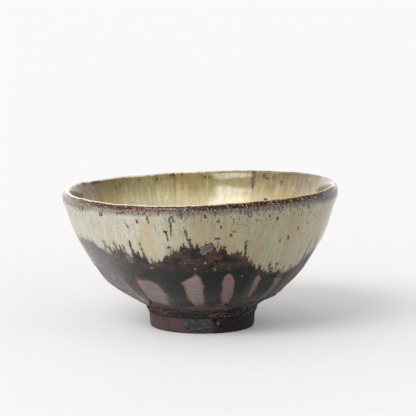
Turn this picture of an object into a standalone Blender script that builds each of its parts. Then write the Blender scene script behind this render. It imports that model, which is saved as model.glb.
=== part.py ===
"""A hand-thrown matcha bowl: clay wall, foot ring, joint collar and the glaze coats that lie on them.

The frame is metres, +Z up, with the origin on the table under the middle of the rim. An azimuth of 0
is the front, which faces -Y, and azimuths grow towards +X. The glazes are thin shells that keep a
small gap to the clay, so that every piece is its own closed solid.
"""

import math

import bmesh
import bpy
import numpy as np
from mathutils import Vector

# Driving dimensions of the bare clay.
RIM_RADIUS = 0.069
WALL_HEIGHT = 0.070
FOOT_RADIUS = 0.0270
FOOT_HEIGHT = 0.012
FOOT_WIDTH = 0.0056
FOOT_OFFSET = 0.0009  # the foot was turned this far off the rim's centre, towards +X
BASE_HEIGHT = 0.0085  # the underside of the base, inside the foot

# Coats and clearances.
GLAZE = 0.0005
COAT_LIFT = 0.0006  # from the clay to the underside of a glaze coat
GAP = 0.0003
LIP_LINE_WIDTH = 0.0024

# The wall's cross-section, as shares of RIM_RADIUS and WALL_HEIGHT: up the outside, over the lip, and
# down the inside to the middle of the tea well.
OUTSIDE = (
    (0.437, 0.178), (0.529, 0.233), (0.698, 0.353), (0.829, 0.537), (0.930, 0.740), (0.988, 0.907),
)
LIP = ((0.998, 0.980), (0.984, 1.000), (0.970, 0.980))
INSIDE = (
    (0.950, 0.920), (0.905, 0.800), (0.796, 0.610), (0.658, 0.438), (0.509, 0.313), (0.362, 0.268),
    (0.283, 0.247), (0.150, 0.233), (0.000, 0.230),
)
CREST = len(OUTSIDE) + 1  # the place of the lip's highest point in the whole section

# A knife pared shallow facets into the lower outside, from FACET_FOOT up to FACET_TOP.
FACET_DEPTH = 0.0009
FACET_FOOT, FACET_FULL, FACET_TOP = 0.0125, 0.026, 0.043

# The wall swells out by BELLY low on its left side. The swelling fades over this many degrees, and
# over this much height.
BELLY = 0.0016
BELLY_AZIMUTH, BELLY_HEIGHT = -92, 0.020
BELLY_DEGREES, BELLY_RISE = 30, 0.008

# The ash glaze ends in a wavy line over the iron glaze: azimuth in degrees, height in metres.
FRINGE = (
    (-77, 0.0490), (-55, 0.0455), (-36, 0.0440), (-24, 0.0418), (-13, 0.0462), (2, 0.0505),
    (14, 0.0445), (24, 0.0395), (36, 0.0335), (50, 0.0330), (60, 0.0355), (74, 0.0425),
    (96, 0.0420), (118, 0.0370), (146, 0.0455), (172, 0.0485), (198, 0.0400), (224, 0.0360),
    (252, 0.0435),
)

# The iron glaze ran down the ridges in tongues, and left a pointed arch of bare clay on each facet:
# the facet's azimuth and the arch's half width in degrees, and the height of its point in metres.
ARCHES = (
    (-76, 9, 0.036), (-55, 5, 0.022), (-34, 10, 0.035), (-2, 7, 0.037), (17, 5, 0.0355),
    (36, 5, 0.035), (54, 5, 0.0365), (78, 8, 0.034), (101, 6, 0.030), (124, 9, 0.034),
    (147, 5, 0.031), (170, 8, 0.036), (194, 6, 0.030), (217, 8, 0.033), (240, 6, 0.029),
    (263, 7, 0.031),
)
TONGUE_END = 0.0165
RIDGES = [(a[0] + b[0]) / 2 for a, b in zip(ARCHES, ARCHES[1:] + ((ARCHES[0][0] + 360,),))]

# Columns of points in each facet, so that every ridge between two facets is a true edge.
WALL_COLUMNS = 4
COAT_COLUMNS = 8

CLAY = ("bare_clay", (0.20, 0.15, 0.145), 0.85)
DARK_CLAY = ("foot_clay", (0.085, 0.055, 0.05), 0.9)
ASH = ("ash_glaze", (0.56, 0.54, 0.40), 0.2)
IRON = ("iron_glaze", (0.035, 0.030, 0.028), 0.35)
LIP_BROWN = ("lip_iron", (0.12, 0.035, 0.015), 0.3)
SPLASH = ("splash_glaze", (0.035, 0.045, 0.042), 0.3)


def clear_scene():
    for obj in list(bpy.data.objects):
        bpy.data.objects.remove(obj)


def natural_spline(knots, values):
    """A function that gives the natural cubic spline through the values and its slope."""
    knots, values = np.asarray(knots, float), np.asarray(values, float)
    steps = np.diff(knots)
    rises = np.diff(values, axis=0) / steps[:, None]
    system = np.eye(len(knots))
    right = np.zeros_like(values)
    for i in range(1, len(knots) - 1):
        system[i, i - 1:i + 2] = steps[i - 1], 2 * (steps[i - 1] + steps[i]), steps[i]
        right[i] = 6 * (rises[i] - rises[i - 1])
    bends = np.linalg.solve(system, right)

    def evaluate(t):
        i = int(np.clip(np.searchsorted(knots, t) - 1, 0, len(steps) - 1))
        h, a, b = steps[i], t - knots[i], knots[i + 1] - t
        start, end = values[i] - bends[i] * h * h / 6, values[i + 1] - bends[i + 1] * h * h / 6
        place = (bends[i] * b**3 + bends[i + 1] * a**3) / (6 * h) + (start * b + end * a) / h
        slope = (bends[i + 1] * a * a - bends[i] * b * b) / (2 * h) + (end - start) / h
        return place, slope

    return evaluate


SECTION = np.array(OUTSIDE + LIP + INSIDE) * (RIM_RADIUS, WALL_HEIGHT)
ALONG = np.concatenate([[0], np.cumsum(np.linalg.norm(np.diff(SECTION, axis=0), axis=1))])
section_curve = natural_spline(ALONG, SECTION)
CREST_AT, WELL_AT = ALONG[CREST], ALONG[-1]
outside_steps = np.linspace(0, CREST_AT, 200)
outside_heights = [section_curve(t)[0][1] for t in outside_steps]

# Where the wall and the glaze inside it have their rings, as lengths along the section.
OUTER_STATIONS = list(np.linspace(0, ALONG[CREST - 1], 9))
LIP_STATIONS = [CREST_AT - 0.0009, CREST_AT, CREST_AT + 0.0009]
INNER_STATIONS = list(np.linspace(ALONG[CREST + 1], WELL_AT - 0.004, 9))


def along_at_height(height):
    """How far along the section the outside reaches this height."""
    return float(np.interp(height, outside_heights, outside_steps))


def at(azimuth, radius, height):
    """A point from its azimuth in radians, its radius and its height."""
    return Vector((radius * math.sin(azimuth), -radius * math.cos(azimuth), height))


def smooth_step(value, start, end):
    t = min(1.0, max(0.0, (value - start) / (end - start)))
    return t * t * (3 - 2 * t)


def facet_cut(azimuth, height):
    """How deep the knife went: deepest in the middle of a facet, nothing on the ridge between two."""
    degrees = (math.degrees(azimuth) - RIDGES[0]) % 360 + RIDGES[0]
    i = int(np.searchsorted(RIDGES, degrees, side="right")) - 1
    start, end = RIDGES[i], (RIDGES + [RIDGES[0] + 360])[i + 1]
    across = 2 * (degrees - start) / (end - start) - 1
    fade = smooth_step(height, FACET_FOOT, FACET_FULL) * (1 - smooth_step(height, FACET_FULL, FACET_TOP))
    return FACET_DEPTH * (1 - across * across) * fade


def left_belly(azimuth, height):
    """How far the wall swells out low on its left side."""
    off = ((math.degrees(azimuth) - BELLY_AZIMUTH + 180) % 360 - 180) / BELLY_DEGREES
    return BELLY * math.exp(-off * off - ((height - BELLY_HEIGHT) / BELLY_RISE) ** 2)


def rim_lift(azimuth):
    """How far the lip stands above its mean height: highest on the right, with soft waves."""
    right = math.sin(azimuth)
    return 0.0018 * right + 0.0009 * right * right + 0.0003 * math.sin(3 * azimuth + 0.6) - 0.00045


def foot_shift(height):
    """How far the bowl's middle lies from the rim's at this height."""
    return FOOT_OFFSET * (1 - smooth_step(height, FOOT_HEIGHT, 2 * FOOT_HEIGHT))


def hand_thrown(azimuth, radius, height):
    """The bowl is slightly oval, its lip isn't level, and its foot is off centre."""
    up = max(0.0, height / WALL_HEIGHT)
    oval = 1 + 0.004 * math.cos(2 * azimuth + 0.5) * up
    point = at(azimuth, radius * oval, height + rim_lift(azimuth) * up * up)
    point.x += foot_shift(height)
    return point


def skin(azimuth, along, lift):
    """A point this far above the clay wall's surface."""
    (radius, height), (across, up) = section_curve(along)
    length = math.hypot(across, up)
    if along < CREST_AT:
        radius += left_belly(azimuth, height) - facet_cut(azimuth, height)
    return hand_thrown(azimuth, radius + lift * up / length, height - lift * across / length)


def fringe_height(azimuth):
    """Where the ash glaze ends, from a closed smooth curve through the FRINGE points."""
    degrees = math.degrees(azimuth)
    turn = FRINGE[0][0] + 360
    degrees = (degrees - FRINGE[0][0]) % 360 + FRINGE[0][0]
    spots = (FRINGE[-1][0] - 360,) + tuple(a for a, _ in FRINGE) + (turn,)
    heights = (FRINGE[-1][1],) + tuple(h for _, h in FRINGE) + (FRINGE[0][1],)
    i = int(np.searchsorted(spots, degrees, side="right")) - 1
    i = min(i, len(spots) - 2)
    return heights[i] + (heights[i + 1] - heights[i]) * smooth_step(degrees, spots[i], spots[i + 1])


def tongue_height(azimuth):
    """Where the iron glaze ends: low under a tongue, high at the point of an arch."""
    height = TONGUE_END
    for centre, half_width, top in ARCHES:
        off = abs((math.degrees(azimuth) - centre + 180) % 360 - 180) / half_width
        height = max(height, TONGUE_END + (top - TONGUE_END) * max(0.0, 1 - off))
    return min(height, fringe_height(azimuth) - 0.003)


def azimuths(columns):
    """The azimuths round the bowl, this many in each facet, from each ridge on."""
    ends = RIDGES + [RIDGES[0] + 360]
    return [
        math.radians(start + (end - start) * i / columns)
        for start, end in zip(ends, ends[1:]) for i in range(columns)
    ]


def material(spec):
    name, colour, roughness = spec
    made = bpy.data.materials.get(name) or bpy.data.materials.new(name)
    made.use_nodes = True
    shader = made.node_tree.nodes["Principled BSDF"]
    shader.inputs["Base Color"].default_value = (*colour, 1.0)
    shader.inputs["Roughness"].default_value = roughness
    shader.inputs["Metallic"].default_value = 0.0
    made.diffuse_color = (*colour, 1.0)
    return made


def add_object(name, mesh, spec):
    mesh.materials.append(material(spec))
    mesh.shade_smooth()
    mesh.set_sharp_from_angle(angle=math.radians(50))
    obj = bpy.data.objects.new(name, mesh)
    bpy.context.scene.collection.objects.link(obj)
    return obj


def ring_mesh(name, rings, poles=(None, None), closed=False):
    """A mesh from rings of points. Each pole closes its end at one point, and closed joins the ends."""
    shape = bmesh.new()
    made = [[shape.verts.new(p) for p in ring] for ring in rings]
    pairs = list(zip(made, made[1:]))
    if closed:
        pairs.append((made[-1], made[0]))
    for lower, upper in pairs:
        for i in range(len(lower)):
            j = (i + 1) % len(lower)
            shape.faces.new((lower[i], lower[j], upper[j], upper[i]))
    for pole, ring in zip(poles, (made[0], made[-1])):
        if pole is not None:
            tip = shape.verts.new(pole)
            for i in range(len(ring)):
                shape.faces.new((ring[i], ring[(i + 1) % len(ring)], tip))
    bmesh.ops.recalc_face_normals(shape, faces=shape.faces)
    mesh = bpy.data.meshes.new(name)
    shape.to_mesh(mesh)
    shape.free()
    return mesh


def bowl_wall():
    """The thrown and pared clay wall, with its tea well and the trimmed base inside the foot."""
    spots = azimuths(WALL_COLUMNS)
    boss = FOOT_RADIUS - FOOT_WIDTH - 0.0022
    underside = (
        (0.0050, BASE_HEIGHT - 0.0003), (boss - 0.0012, BASE_HEIGHT), (boss, FOOT_HEIGHT),
        (FOOT_RADIUS + 0.0006, FOOT_HEIGHT),
    )
    rings = [[hand_thrown(a, radius, height) for a in spots] for radius, height in underside]
    rings += [[skin(a, t, 0.0) for a in spots] for t in OUTER_STATIONS + LIP_STATIONS + INNER_STATIONS]
    nub = hand_thrown(0, 0, BASE_HEIGHT - 0.0015)
    well = hand_thrown(0, 0, section_curve(WELL_AT)[0][1])
    return add_object("bowl_wall", ring_mesh("bowl_wall", rings, (nub, well)), CLAY)


def coat(name, spec, columns, rows, start, end):
    """A glaze shell on the wall, between two ways of saying how far along the section it runs."""
    rings = []
    for row in range(rows + 1):
        share = row / rows
        rings.append([skin(a, start(a) + (end(a) - start(a)) * share, COAT_LIFT) for a in azimuths(columns)])
    obj = add_object(name, ring_mesh(name, rings), spec)
    return thicken(obj)


def thicken(obj):
    """Gives an open skin the thickness of a glaze coat, away from the clay."""
    solid = obj.modifiers.new("glaze thickness", "SOLIDIFY")
    solid.thickness = GLAZE
    solid.offset = 1.0
    return obj


def outward(obj, middle):
    """Turns an open skin's faces away from the point that the clay is on the side of."""
    mesh = obj.data
    face = mesh.polygons[0]
    if face.normal.dot(face.center - middle) < 0:
        mesh.flip_normals()
    return obj


def outer_coats():
    """The ash glaze above, and the iron glaze with its tongues below."""
    inside_clay = Vector((0, 0, 0.060))
    crest_out = CREST_AT - LIP_LINE_WIDTH - GAP

    def fringe(azimuth):
        return along_at_height(fringe_height(azimuth))

    def tongue(azimuth):
        return along_at_height(tongue_height(azimuth))

    ash = coat("outer_ash_glaze", ASH, COAT_COLUMNS, 4, fringe, lambda a: crest_out)
    iron = coat("iron_glaze_coat", IRON, COAT_COLUMNS, 9, tongue, lambda a: fringe(a) - GAP)
    for obj in (ash, iron):
        outward(obj, inside_clay)


def lip_iron_line():
    """The burnt brown line where the glaze ran thin over the outer edge of the lip."""
    line = coat(
        "lip_iron_line", LIP_BROWN, WALL_COLUMNS, 3,
        lambda a: CREST_AT - LIP_LINE_WIDTH, lambda a: CREST_AT - GAP,
    )
    outward(line, Vector((0, 0, 0.060)))


def inner_ash_glaze():
    """The glaze that lines the bowl, from the crest of the lip to the middle of the well."""
    spots = azimuths(WALL_COLUMNS)
    rings = [[skin(a, t, COAT_LIFT) for a in spots] for t in LIP_STATIONS[1:] + INNER_STATIONS]
    middle = hand_thrown(0, 0, section_curve(WELL_AT)[0][1] + COAT_LIFT)
    obj = add_object("inner_ash_glaze", ring_mesh("inner_ash_glaze", rings, (None, middle)), ASH)
    if obj.data.polygons[-1].normal.z < 0:
        obj.data.flip_normals()
    thicken(obj)


def foot_point(azimuth, radius, height):
    """A point of the foot, which is round about its own middle."""
    return at(azimuth, radius, height) + Vector((FOOT_OFFSET, 0, 0))


def foot_ring():
    """The foot: a ring with a flat resting face, thrown and trimmed, luted under the wall."""
    rebate = FOOT_RADIUS - 0.0005
    top = FOOT_HEIGHT - GAP
    inner = FOOT_RADIUS - FOOT_WIDTH
    profile = (
        (inner + 0.0004, 0.0), (FOOT_RADIUS - 0.0006, 0.0), (FOOT_RADIUS - 0.0001, 0.0005),
        (FOOT_RADIUS, 0.0075), (rebate, 0.0078), (rebate, top), (inner - 0.0018, top),
        (inner - 0.0004, 0.0010),
    )
    rings = [[foot_point(a, radius, height) for a in azimuths(WALL_COLUMNS)] for radius, height in profile]
    add_object("foot_ring", ring_mesh("foot_ring", rings, closed=True), DARK_CLAY)


def foot_joint_collar():
    """The rough collar of clay pressed round the joint between the foot and the wall."""
    inner = FOOT_RADIUS - 0.0005 + GAP
    top = FOOT_HEIGHT - GAP
    profile = (
        (inner, 0.0081), (FOOT_RADIUS + 0.0006, 0.0081), (FOOT_RADIUS + 0.0009, 0.0097),
        (FOOT_RADIUS + 0.0016, top), (inner, top),
    )
    rings = [[foot_point(a, radius, height) for a in azimuths(WALL_COLUMNS)] for radius, height in profile]
    add_object("foot_joint_collar", ring_mesh("foot_joint_collar", rings, closed=True), CLAY)


def splash(name, centre, half_width, low, high, radius_low, radius_high):
    """A round-ended patch of glaze that landed on the foot, from its azimuths, heights and radii."""
    shape = bmesh.new()
    across, up = 12, 5
    grid = []
    for row in range(up + 1):
        height_share = row / up
        bulge = 0.25 + 0.75 * math.sqrt(max(0.0, 1 - (2 * height_share - 1) ** 2))
        radius = radius_low + (radius_high - radius_low) * height_share
        height = low + (high - low) * height_share
        spread = half_width * bulge
        spots = [math.radians(centre + spread * (2 * i / across - 1)) for i in range(across + 1)]
        grid.append([shape.verts.new(foot_point(a, radius, height)) for a in spots])
    for lower, upper in zip(grid, grid[1:]):
        for i in range(across):
            shape.faces.new((lower[i], lower[i + 1], upper[i + 1], upper[i]))
    mesh = bpy.data.meshes.new(name)
    shape.to_mesh(mesh)
    shape.free()
    thicken(outward(add_object(name, mesh, SPLASH), Vector((0, 0, low))))


def foot_splashes():
    collar_low, collar_high = FOOT_RADIUS + 0.0011, FOOT_RADIUS + 0.0018
    splash("foot_iron_splash", -15, 19, 0.0084, 0.0113, collar_low, collar_high)
    splash("foot_ash_splash", -2, 17, 0.0012, 0.0070, FOOT_RADIUS + 0.0001, FOOT_RADIUS + 0.0004)


def main():
    clear_scene()
    bowl_wall()
    foot_ring()
    foot_joint_collar()
    inner_ash_glaze()
    lip_iron_line()
    outer_coats()
    foot_splashes()


main()
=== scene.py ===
"""The looks of the matcha bowl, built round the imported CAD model.

Lengths are metres, apart from the tables of edges, windows and marks and the mesh attributes, which
are millimetres.
An azimuth of 0 is the front, which faces -Y, and azimuths grow towards +X. "Along" is the length
along the wall's section, from the foot up the outside, over the lip and down to the tea well.
"""

import math

import bpy
import numpy as np
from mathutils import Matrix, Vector


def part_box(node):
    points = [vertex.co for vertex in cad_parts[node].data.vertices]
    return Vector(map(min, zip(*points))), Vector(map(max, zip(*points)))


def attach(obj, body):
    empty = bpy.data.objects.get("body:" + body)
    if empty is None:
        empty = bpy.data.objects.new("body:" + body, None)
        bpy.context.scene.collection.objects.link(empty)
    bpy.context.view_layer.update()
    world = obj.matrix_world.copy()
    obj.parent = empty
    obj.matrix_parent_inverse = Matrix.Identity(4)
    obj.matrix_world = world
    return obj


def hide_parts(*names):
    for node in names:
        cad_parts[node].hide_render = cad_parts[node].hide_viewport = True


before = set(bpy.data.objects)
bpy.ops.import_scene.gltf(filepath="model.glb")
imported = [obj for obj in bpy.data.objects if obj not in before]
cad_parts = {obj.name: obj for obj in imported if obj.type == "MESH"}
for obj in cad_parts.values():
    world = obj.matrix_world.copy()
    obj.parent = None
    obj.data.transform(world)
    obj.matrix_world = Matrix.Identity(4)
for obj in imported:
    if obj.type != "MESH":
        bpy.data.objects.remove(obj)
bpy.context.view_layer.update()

MM = 0.001

# ---- the wall's shape, as in the CAD

OUTSIDE = (
    (0.437, 0.178), (0.529, 0.233), (0.698, 0.353), (0.829, 0.537), (0.93, 0.74), (0.988, 0.907),
)
LIP = ((0.998, 0.98), (0.984, 1), (0.97, 0.98))
INSIDE = (
    (0.95, 0.92), (0.905, 0.8), (0.796, 0.61), (0.658, 0.438), (0.509, 0.313), (0.362, 0.268),
    (0.283, 0.247), (0.15, 0.233), (0, 0.23),
)
CREST = len(OUTSIDE) + 1
OVAL = 0.004
FACET_DEPTH = 0.0009
FACET_FOOT, FACET_FULL, FACET_TOP = 0.0125, 0.026, 0.043
BELLY = 1.6 * MM
BELLY_AZIMUTH, BELLY_HEIGHT = -92, 0.02
BELLY_DEGREES, BELLY_RISE = 30, 0.008
FACETS = (-76, -55, -34, -2, 17, 36, 54, 78, 101, 124, 147, 170, 194, 217, 240, 263)
RIDGES = np.array([(a + b) / 2 for a, b in zip(FACETS, FACETS[1:] + (FACETS[0] + 360,))])

# The ash glaze's wavy lower edge: azimuth in degrees, height in mm.
FRINGE = (
    (-86, 49.2), (-77, 48.6), (-66, 48.2), (-56, 48.2), (-51, 46.8), (-47.5, 44.2), (-44, 44.2),
    (-40, 46.8), (-37, 47.8), (-34.5, 41.2), (-30, 46), (-26, 43), (-22.5, 40.5), (-18.5, 42.4),
    (-15, 45.8), (-10.5, 46.4), (-6, 50.8), (-1, 49.6), (4, 50.4), (8, 47.8), (14, 44.8), (20, 43.4),
    (25, 39.2), (30, 36.2), (37, 33.8), (45, 33), (54, 32.8), (60, 34.8), (65, 38.5), (72, 42), (80, 42),
    (96, 42), (118, 37), (133, 39), (146, 45.5), (160, 44), (172, 48.5), (186, 43), (198, 40), (211, 41),
    (224, 36), (238, 40), (252, 43.5),
)

# The corners of the bare windows between the iron glaze's tongues, in the same form. The ones on
# the back are guesses.
WINDOWS = (
    ((-73, 34.2), (-63, 34), (-56.5, 32.6), (-53, 30), (-50.5, 27.3), (-48, 25), (-48, 21.5), (-51, 18.5),
     (-53, 15.5), (-53, 10), (-100, 10), (-104, 20), (-95, 28), (-82, 33)),
    ((-36.4, 31.7), (-26.6, 30.4), (-23.8, 28.3), (-21.5, 22.6), (-23.5, 19), (-27, 10), (-43, 10),
     (-41.4, 16.8), (-37.6, 21.5), (-37.9, 29.3)),
    ((-2, 35.3), (-0.2, 33.4), (1.6, 28.4), (1.8, 22.6), (3, 14), (-4, 14.8), (-7.1, 19), (-8.2, 23.4),
     (-8.4, 28), (-9.6, 30.6), (-7.2, 31.8), (-4.2, 33.8)),
    ((14.4, 35), (16.2, 33.5), (18.6, 30), (20.8, 21.8), (19.5, 18.4), (16.5, 14.5), (14, 22), (12.5, 29),
     (13, 33.7)),
    ((33.1, 35), (34, 30.4), (35.3, 22.6), (33.8, 20.2), (32.2, 21.4), (30.9, 29.8), (31.6, 32.4)),
    ((45, 34.6), (52.4, 34), (51.6, 29.8), (54, 24.6), (55.5, 19), (53.4, 21.5), (49, 25), (45.4, 29.4)),
    ((64, 37.5), (70, 37), (76, 31), (80, 24), (80, 18), (71, 17.5), (65, 23), (61.5, 30), (61.5, 35)),
    ((101, 31), (105, 26), (104, 20), (101, 18), (98, 22), (98, 27)),
    ((121, 36), (129, 31), (132, 22), (134, 10), (116, 10), (117, 22), (118, 31)),
    ((147, 33), (151, 27), (150, 21), (147, 18), (144, 22), (145, 28)),
    ((172, 37), (176, 32), (178, 24), (180, 10), (163, 10), (165, 24), (168, 33)),
    ((194, 31), (197, 26), (197, 20), (194, 17), (190, 21), (191, 27)),
    ((214, 34), (221, 29), (225, 20), (226, 10), (208, 10), (210, 21), (211, 30)),
    ((241, 30), (245, 25), (244, 20), (240, 18), (237, 22), (238, 27)),
)
# How low each part of the iron glaze ran, in the same form.
TONGUES = (
    (-90, 15), (-50, 14.6), (-40, 16.8), (-29, 15.8), (-22, 16.3), (-9, 16), (-4, 16), (-1, 17.3),
    (2, 17.1), (6, 16.1), (9, 16.1), (12, 17.6), (15, 17.7), (18, 16.4), (23, 14.6), (30, 13.3), (38, 13.6),
    (45, 14.7), (60, 16.5), (75, 19.5), (90, 16), (105, 18.5), (124, 19), (137, 15), (170, 19.5), (182, 15),
    (217, 19), (230, 15.5), (250, 17),
)

# Where iron glaze boiled up through the ash glaze in pins with broad heads. Each stroke is
# (azimuth, height in mm) at both ends and half its width in mm.
PINS = (
    (-46.4, 50.4, -46.8, 44, 0.34), (-47.3, 50.9, -46, 50.6, 0.34), (-40.1, 50.8, -39.6, 45, 0.36),
    (-44.3, 48.4, -44, 43, 0.5), (-37.3, 49, -37, 45, 0.5), (-35.4, 49.4, -34.6, 42, 0.4),
    (-31.6, 52.2, -30.6, 44, 0.36), (-34, 45, -30, 41.5, 0.45), (-26.6, 52.2, -26.5, 49, 0.35),
    (-26.2, 49, -24.6, 42, 0.3), (-29, 46, -28.4, 42, 0.7), (-13.9, 49.9, -12.9, 50, 0.55),
    (-12.9, 49.6, -12.5, 45, 0.35), (-10.5, 48.2, -10.4, 45, 0.3), (-8.6, 49.6, -8.4, 46, 0.35),
    (-4.6, 53.9, -3.8, 54, 0.42), (-4.2, 53.6, -4.2, 48, 0.28), (-1.2, 50.8, -1, 48, 0.7),
    (6.9, 54.1, 8.4, 54.1, 0.34), (7.6, 54, 7.9, 49, 0.13), (10.6, 49.8, 10.9, 45, 0.3),
    (10.2, 49.8, 11, 49.8, 0.3), (16.4, 45.4, 16.4, 42, 0.3), (18.3, 46.8, 18.5, 42, 0.6),
    (19.7, 51.9, 20.9, 51.9, 0.4), (20.1, 51.6, 20.8, 42, 0.34), (27, 38.4, 28, 35, 0.5),
    (29.6, 39.4, 31, 34, 0.3), (35.6, 39, 38.4, 33, 0.33), (38.5, 36.5, 39.6, 33, 0.3),
    (40.6, 38.4, 41.4, 32, 0.33), (40.2, 38.5, 41, 38.3, 0.35), (60.2, 48.4, 60.8, 41, 0.32),
    (60.9, 41.5, 61.6, 34, 0.7), (67.3, 48.2, 67.4, 46.8, 0.45), (67.6, 46.8, 68.4, 40, 0.8),
    (-62.2, 48.6, -62, 45, 0.3), (-55, 47.4, -54.6, 43, 0.25), (-22.5, 43.6, -22.3, 40, 0.3),
    (46.6, 36, 47, 33, 0.3), (52, 36.5, 52.4, 33, 0.3),
)

# Brown-grey burst bubbles and drips in the ash glaze, in the same form.
SPOTS = (
    (-43.9, 65.5, -43.9, 65.1, 1), (-11.5, 64.8, -11.5, 63.8, 1.25), (-11.8, 62.5, -12, 56.5, 0.3),
    (-14.5, 58.4, -13.9, 58.2, 0.6), (-13.9, 58, -13.5, 53.5, 0.26), (-26.1, 63.8, -25.9, 62.8, 0.5),
    (-31.5, 62, -30.6, 59.5, 0.2), (-21.3, 65.8, -20.9, 62.8, 0.28), (-18.6, 62.3, -18.4, 58.5, 0.16),
    (-5.9, 58.4, -5.6, 56.4, 0.5), (-5.5, 56, -5.3, 54, 0.2), (-55.5, 66.9, -55.4, 66.4, 0.5),
    (-57.9, 66.2, -57.6, 65.4, 0.3), (13.9, 57.3, 14.4, 57.4, 0.42), (12.9, 56, 13.2, 55.4, 0.5),
    (41.2, 52.6, 41.5, 51.2, 0.42), (36.8, 51.6, 37, 50.2, 0.2), (33, 62.6, 33.2, 61.8, 0.45),
    (20, 66.2, 20.4, 65.2, 0.75), (7.3, 63.4, 7.4, 62.8, 0.3), (8.6, 60.2, 8.7, 59.8, 0.35),
    (29, 64.2, 29.3, 63.4, 0.4), (2, 66, 2.2, 65.4, 0.5), (-7.3, 66.8, -7.2, 64.8, 0.22),
    (49.4, 66.4, 49.6, 65.2, 0.4), (46.2, 56.4, 46.4, 54.8, 0.3), (52, 58, 52.2, 57.4, 0.3),
    (-34.5, 67.6, -32.5, 67.4, 0.8), (100, 60, 100.4, 57, 0.5), (121, 64, 121, 63, 1.1),
    (140, 57, 140.4, 50, 0.35), (163, 66, 163, 65, 0.8), (181, 58, 181, 54, 0.4),
    (203, 64.5, 203, 63.8, 1.2), (222, 55, 222.4, 50, 0.35), (246, 62, 246, 61.5, 0.9),
    (263, 59, 263.3, 57, 0.45),
)

# Red-brown drips, burst bubbles and hair lines in the inner glaze: (azimuth, depth below the lip
# in mm) at both ends and half the width in mm.
INNER_SPOTS = (
    (155, 1.2, 154.6, 7, 1), (154.6, 7, 154.5, 9, 0.5), (149.4, 2.1, 149, 2.3, 1.1),
    (147.6, 3.4, 147, 3.6, 0.7), (139, 4.6, 139, 5, 1.25), (192.8, 1.2, 192.8, 1.3, 0.8),
    (188.6, 1, 188.4, 1.3, 0.45), (200.6, 2.2, 200.6, 2.6, 0.5), (198.6, 2.3, 198.6, 2.6, 0.35),
    (144, 2, 144, 4, 0.3), (132, 2, 131.6, 6, 0.26), (129.2, 2, 128.4, 7, 0.26),
    (126, 3, 125.4, 7.5, 0.28), (123, 2, 122.6, 6, 0.25), (119.5, 3.6, 119, 7, 0.45),
    (117, 4, 116.6, 8, 0.25), (113, 3, 112.6, 7, 0.25), (108.4, 4, 108.2, 8, 0.35),
    (104, 3, 103.8, 6, 0.3), (146.6, 15, 145.4, 15.4, 0.8), (223.8, 4.4, 223.4, 6, 0.6),
    (221, 3, 220.8, 4.2, 0.4), (178, 2.4, 177.8, 2.6, 0.4), (176, 2.4, 176, 2.8, 0.35),
    (233, 0.6, 239, 0.8, 0.9), (244, 0.9, 247, 1, 0.8), (60, 8, 60, 12, 0.6), (20, 10, 20.4, 16, 0.5),
    (-40, 6, -40.5, 11, 0.5), (-75, 14, -75, 15, 1), (280, 9, 280.4, 14, 0.4), (330, 20, 331, 22, 0.8),
)

# Pits in the foot and one rust spot on it: azimuth in degrees, height and radius in mm.
FOOT_PITS = (
    (-45.5, 6, 0.55), (13, 6.2, 1.3), (21, 3.6, 0.9), (-8, 2.6, 0.5), (-38, 4.6, 0.25), (-2, 3.4, 0.35),
)
FOOT_RUST = ((17.5, 5.4, 0.9),)
FOOT_JOINT = 8.1  # the height of the joint between the foot and its collar

# Pinkish stones and pits that show through the iron glaze, in the pins' form.
STONES = (
    (1.9, 48.2, 4.2, 49.4, 1.9), (-35.6, 43.4, -33.6, 41.8, 1.3), (2.4, 41.5, 2.5, 41.3, 0.85),
    (7.1, 38.3, 7.4, 37.9, 0.75), (3.4, 37.2, 3.4, 37, 0.4), (-7.1, 42, -7.1, 41.7, 0.55),
    (-8.6, 46.8, -8.5, 46.8, 0.55), (-12.8, 40.3, -12.8, 40.3, 0.5), (22, 33.3, 22, 33.2, 0.45),
    (14.1, 38.4, 14.1, 37.8, 0.4), (-2.6, 38.4, -1.6, 38.2, 0.5), (8.8, 46.4, 8.8, 46.2, 0.5),
    (-24, 38.6, -22.6, 38.4, 0.4), (130, 40, 132, 41, 1.4), (188, 36, 189, 37, 1),
    (230, 31, 231, 31, 1.2),
)

IRON_THICK = 0.45 * MM
ASH_THICK = 0.45 * MM
EMBED = 0.12 * MM
LIP_BAND = 3.0 * MM
BACK_LIFT = 0.02 * MM  # from the clay to the back of a coat
TIP = 0.0002  # the radius of the hole that a cap closes, at the bowl's middle
ASH_COLUMNS = 960
FAR = 20.0  # a mark's distance where there is none near


def smooth(value, start, end):
    t = np.clip((value - start) / (end - start), 0, 1)
    return t * t * (3 - 2 * t)


def turn(degrees, start):
    """How far round a point is from a start, between -180 and 180 degrees."""
    return (degrees - start + 180) % 360 - 180


def natural_spline(knots, values):
    """A function that gives the natural cubic spline through the values, and its slope."""
    knots, values = np.asarray(knots, float), np.asarray(values, float)
    steps = np.diff(knots)
    rises = np.diff(values, axis=0) / steps[:, None]
    system = np.eye(len(knots))
    right = np.zeros_like(values)
    for i in range(1, len(knots) - 1):
        system[i, i - 1:i + 2] = steps[i - 1], 2 * (steps[i - 1] + steps[i]), steps[i]
        right[i] = 6 * (rises[i] - rises[i - 1])
    bends = np.linalg.solve(system, right)

    def evaluate(t):
        t = np.asarray(t, float)
        i = np.clip(np.searchsorted(knots, t) - 1, 0, len(steps) - 1)
        h, a, b = (x[..., None] for x in (steps[i], t - knots[i], knots[i + 1] - t))
        start, end = values[i] - bends[i] * h * h / 6, values[i + 1] - bends[i + 1] * h * h / 6
        place = (bends[i] * b**3 + bends[i + 1] * a**3) / (6 * h) + (start * b + end * a) / h
        slope = (bends[i + 1] * a * a - bends[i] * b * b) / (2 * h) + (end - start) / h
        return place, slope

    return evaluate


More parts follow.
